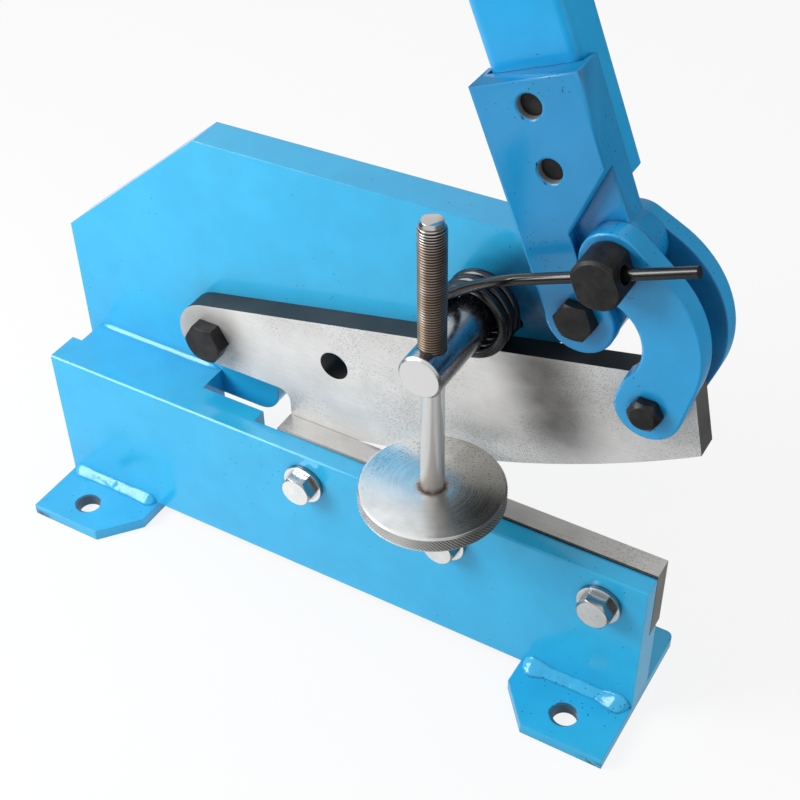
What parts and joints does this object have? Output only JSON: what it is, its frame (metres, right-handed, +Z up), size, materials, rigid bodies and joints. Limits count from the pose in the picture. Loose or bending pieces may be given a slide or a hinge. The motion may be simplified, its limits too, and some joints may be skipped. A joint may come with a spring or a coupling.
{
  "type": "bench lever shear",
  "caption": "Bench lever shear: a leaning tube handle on a cast toggle lever pushes a curved blade past a fixed one, with a torsion return spring and a screw hold-down.",
  "frame": {"origin": "centre of the bench bolt pattern, on the underside of the feet", "axes": "+Z up, +X along the beam towards the cutting end, -Y towards the front"},
  "size_m": [0.3438, 0.1174, 0.6565],
  "materials": {
    "blue_paint": "semi-gloss",
    "black_steel": "black oxide",
    "blade_steel": "ground",
    "zinc": "zinc plated",
    "chrome": "polished",
    "thread_steel": "rolled thread",
    "black_plastic": "moulded"
  },
  "bodies": {
    "frame": {"back_plate": "blue_paint", "lower_beam": "blue_paint", "spacer_block": "blue_paint", "left_foot": "blue_paint", "right_foot": "blue_paint", "weld_beads": "blue_paint", "lower_blade": "blade_steel", "lower_blade_bolts": "zinc", "blade_pivot_bolt": "black_steel", "blade_pivot_nut": "black_steel", "lever_pivot_bolt": "black_steel", "lever_pivot_nut": "black_steel", "hold_down_post": "chrome", "post_nut": "black_steel"},
    "lever": {"lever_casting": "blue_paint", "handle_tube": "blue_paint", "handle_bolts": "black_steel", "handle_plug": "black_plastic"},
    "upper_blade": {"upper_blade": "blade_steel"},
    "links": {"front_link": "blue_paint", "rear_link": "blue_paint", "link_bolt": "black_steel", "link_nut": "black_steel"},
    "anchor": {"anchor_pin": "black_steel", "anchor_nut": "black_steel"},
    "return_spring": {"return_spring": "black_steel"},
    "hold_down": {"hold_down_spindle": "thread_steel", "hold_down_disc": "zinc"}
  },
  "joints": [
    {"name": "lever_swing", "type": "hinge", "parent": "frame", "child": "lever", "pos_m": [0.117, 0, 0.207], "axis": [0, 1, 0], "range_deg": [0, 105], "stiffness_Nm_per_rad": 2.5, "springref_deg": -85.94},
    {"name": "blade_swing", "type": "hinge", "parent": "frame", "child": "upper_blade", "pos_m": [-0.077, 0, 0.118], "axis": [0, 1, 0], "range_deg": [0, 14.4]},
    {"name": "link_swing", "type": "hinge", "parent": "lever", "child": "links", "pos_m": [0.13094, 0, 0.24003], "axis": [0, 1, 0], "range_deg": [-97.2, 0]},
    {"name": "anchor_turn", "type": "hinge", "parent": "lever", "child": "anchor", "pos_m": [0.13094, 0, 0.24003], "axis": [0, 1, 0], "range_deg": [-62.1, 0]},
    {"name": "spring_turn", "type": "hinge", "parent": "frame", "child": "return_spring", "pos_m": [0.0697, 0, 0.1886], "axis": [0, 1, 0], "range_deg": [0, 43.2], "deforming": ["return_spring"]},
    {"name": "hold_down_feed", "type": "slide", "parent": "frame", "child": "hold_down", "axis": [0, 0, 1], "range_m": [-0.0245, 0]}
  ],
  "couplings": [
    {"joint": "blade_swing", "follows": "lever_swing", "ratio": 0.1362},
    {"joint": "link_swing", "follows": "lever_swing", "ratio": -0.925},
    {"joint": "anchor_turn", "follows": "lever_swing", "ratio": -0.59},
    {"joint": "spring_turn", "follows": "lever_swing", "ratio": 0.41}
  ]
}
